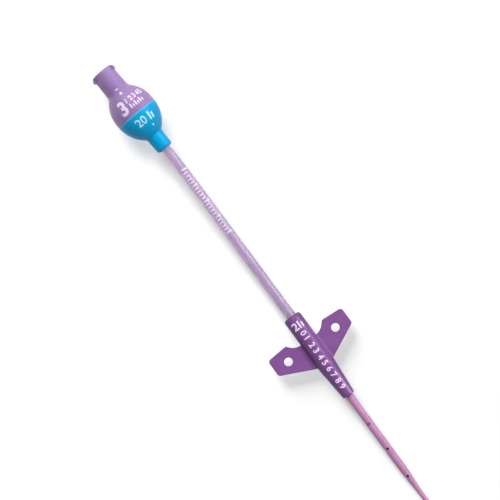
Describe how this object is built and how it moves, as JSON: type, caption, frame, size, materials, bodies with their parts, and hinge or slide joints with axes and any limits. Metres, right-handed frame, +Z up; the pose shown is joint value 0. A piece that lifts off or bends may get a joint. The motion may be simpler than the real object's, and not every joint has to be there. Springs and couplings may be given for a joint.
{
  "type": "peripherally inserted central catheter",
  "caption": "Long thin venous catheter with a winged suture junction, a short extension tube and a bulb-shaped hub that holds a slit valve behind a female luer socket.",
  "frame": {"origin": "on the surface that the part lies on, under the middle of the hub, tube and junction", "axes": "+X along the winged junction's axis, from the hub towards the catheter; +Z up from the surface; the two suture wings reach out along +Y and -Y"},
  "size_m": [0.1746, 0.0325, 0.0132],
  "materials": {
    "luer_purple": "translucent moulded plastic, smooth gloss",
    "hub_blue": "translucent moulded plastic, smooth gloss",
    "valve_silicone": "soft silicone, satin",
    "tube_lavender": "soft translucent tubing, satin",
    "junction_purple": "soft moulded polyurethane, satin",
    "catheter_pink": "soft extruded polyurethane, satin",
    "print_white": "white printing ink",
    "mark_dark": "dark marking ink"
  },
  "bodies": {
    "root": {"luer_housing": "luer_purple", "valve_disc": "valve_silicone", "lower_housing": "hub_blue", "extension_tube": "tube_lavender", "winged_junction": "junction_purple", "catheter_tube": "catheter_pink", "catheter_coil": "catheter_pink"}
  },
  "joints": []
}
